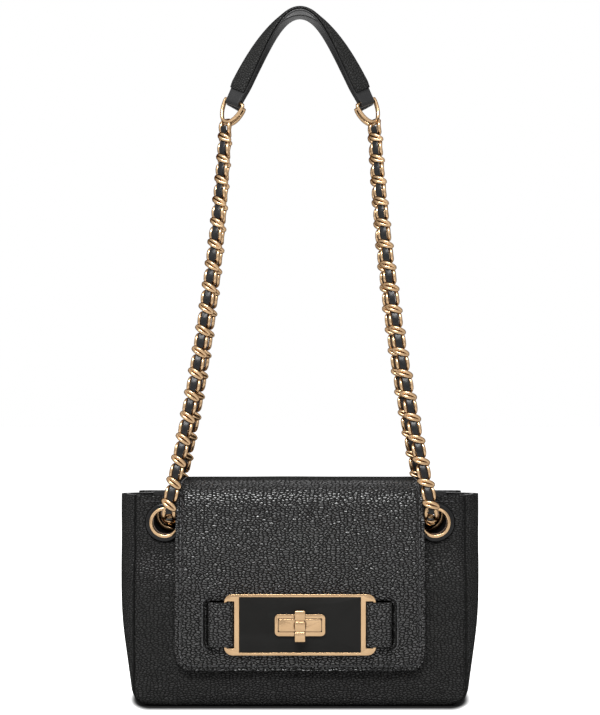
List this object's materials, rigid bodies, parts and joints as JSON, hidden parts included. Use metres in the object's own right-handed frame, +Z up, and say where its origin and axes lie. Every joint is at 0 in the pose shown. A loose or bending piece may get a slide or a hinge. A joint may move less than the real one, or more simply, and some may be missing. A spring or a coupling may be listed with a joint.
{
  "type": "crossbody bag",
  "caption": "Small black pebbled-leather crossbody bag with a front flap, turn-lock plate, grommets and a doubled chain-and-leather strap with shoulder pads.",
  "frame": {"origin": "middle of the underside of the bag, on the surface that it stands on", "axes": "+Z up along the strap, -Y to the front with the flap and lock, +X to the right seen from the front"},
  "size_m": [0.235, 0.092, 0.453],
  "materials": {
    "pebbled_leather": "black pebbled leather with a soft satin sheen",
    "smooth_leather": "smooth black leather of the edges, loops and lace",
    "lining_cloth": "dark woven lining",
    "stiffener": "dark fibre board",
    "rose_gold": "polished light rose gold plating",
    "black_enamel": "glossy black enamel",
    "steel": "plain steel backing"
  },
  "bodies": {
    "bag_body": {"front_panel": "pebbled_leather", "back_panel": "pebbled_leather", "left_gusset": "pebbled_leather", "right_gusset": "pebbled_leather", "base_panel": "pebbled_leather", "base_board": "stiffener", "lining": "lining_cloth", "top_facing": "smooth_leather", "slip_pocket": "lining_cloth", "flap_anchor": "pebbled_leather", "lock_base": "rose_gold", "lock_backing": "steel", "left_inside_chain": "rose_gold", "right_inside_chain": "rose_gold", "left_inside_lace": "smooth_leather", "right_inside_lace": "smooth_leather", "front_left_collar": "black_enamel", "front_left_eyelet": "rose_gold", "front_left_washer": "rose_gold", "front_right_collar": "black_enamel", "front_right_eyelet": "rose_gold", "front_right_washer": "rose_gold", "rear_left_collar": "black_enamel", "rear_left_eyelet": "rose_gold", "rear_left_washer": "rose_gold", "rear_right_collar": "black_enamel", "rear_right_eyelet": "rose_gold", "rear_right_washer": "rose_gold"},
    "flap_body": {"flap": "pebbled_leather", "flap_lining": "smooth_leather", "plate_frame": "rose_gold", "left_tab": "smooth_leather", "right_tab": "smooth_leather", "enamel_panel": "black_enamel", "escutcheon": "rose_gold", "clasp_backing": "steel"},
    "knob_body": {"turn_knob": "rose_gold"},
    "front_strap_body": {"front_strap": "smooth_leather", "front_pad": "pebbled_leather", "front_left_chain": "rose_gold", "front_left_lace": "smooth_leather", "front_right_chain": "rose_gold", "front_right_lace": "smooth_leather"},
    "front_left_ring_body": {"front_left_ring": "rose_gold"},
    "front_right_ring_body": {"front_right_ring": "rose_gold"},
    "rear_strap_body": {"rear_strap": "smooth_leather", "rear_pad": "pebbled_leather", "rear_left_chain": "rose_gold", "rear_left_lace": "smooth_leather", "rear_right_chain": "rose_gold", "rear_right_lace": "smooth_leather"},
    "rear_left_ring_body": {"rear_left_ring": "rose_gold"},
    "rear_right_ring_body": {"rear_right_ring": "rose_gold"}
  },
  "joints": [
    {"name": "flap_hinge", "type": "hinge", "parent": "bag_body", "child": "flap_body", "pos_m": [0, 0.0314, 0.1356], "axis": [-1, 0, 0], "range_deg": [0, 180]},
    {"name": "knob_turn", "type": "hinge", "parent": "bag_body", "child": "knob_body", "pos_m": [0, -0.0465, 0.0534], "axis": [0, -1, 0], "range_deg": [0, 90]},
    {"name": "front_strap_swing", "type": "hinge", "parent": "bag_body", "child": "front_strap_body", "pos_m": [0, -0.03666, 0.12216], "axis": [1, 0, 0], "range_deg": [0, 110], "deforming": ["front_left_chain", "front_left_lace", "front_right_chain", "front_right_lace"]},
    {"name": "rear_strap_swing", "type": "hinge", "parent": "bag_body", "child": "rear_strap_body", "pos_m": [0, 0.03666, 0.12216], "axis": [-1, 0, 0], "range_deg": [0, 110], "deforming": ["rear_left_chain", "rear_left_lace", "rear_right_chain", "rear_right_lace"]},
    {"name": "front_left_ring_swing", "type": "hinge", "parent": "front_strap_body", "child": "front_left_ring_body", "pos_m": [-0.04305, -0.00618, 0.39081], "axis": [0.7825, -0.5, -0.3711], "range_deg": [-20, 20]},
    {"name": "front_right_ring_swing", "type": "hinge", "parent": "front_strap_body", "child": "front_right_ring_body", "pos_m": [0.04305, -0.00618, 0.39081], "axis": [0.7825, 0.5, 0.3711], "range_deg": [-20, 20]},
    {"name": "rear_left_ring_swing", "type": "hinge", "parent": "rear_strap_body", "child": "rear_left_ring_body", "pos_m": [-0.04305, 0.00618, 0.39081], "axis": [-0.7825, -0.5, 0.3711], "range_deg": [-20, 20]},
    {"name": "rear_right_ring_swing", "type": "hinge", "parent": "rear_strap_body", "child": "rear_right_ring_body", "pos_m": [0.04305, 0.00618, 0.39081], "axis": [-0.7825, 0.5, -0.3711], "range_deg": [-20, 20]}
  ]
}
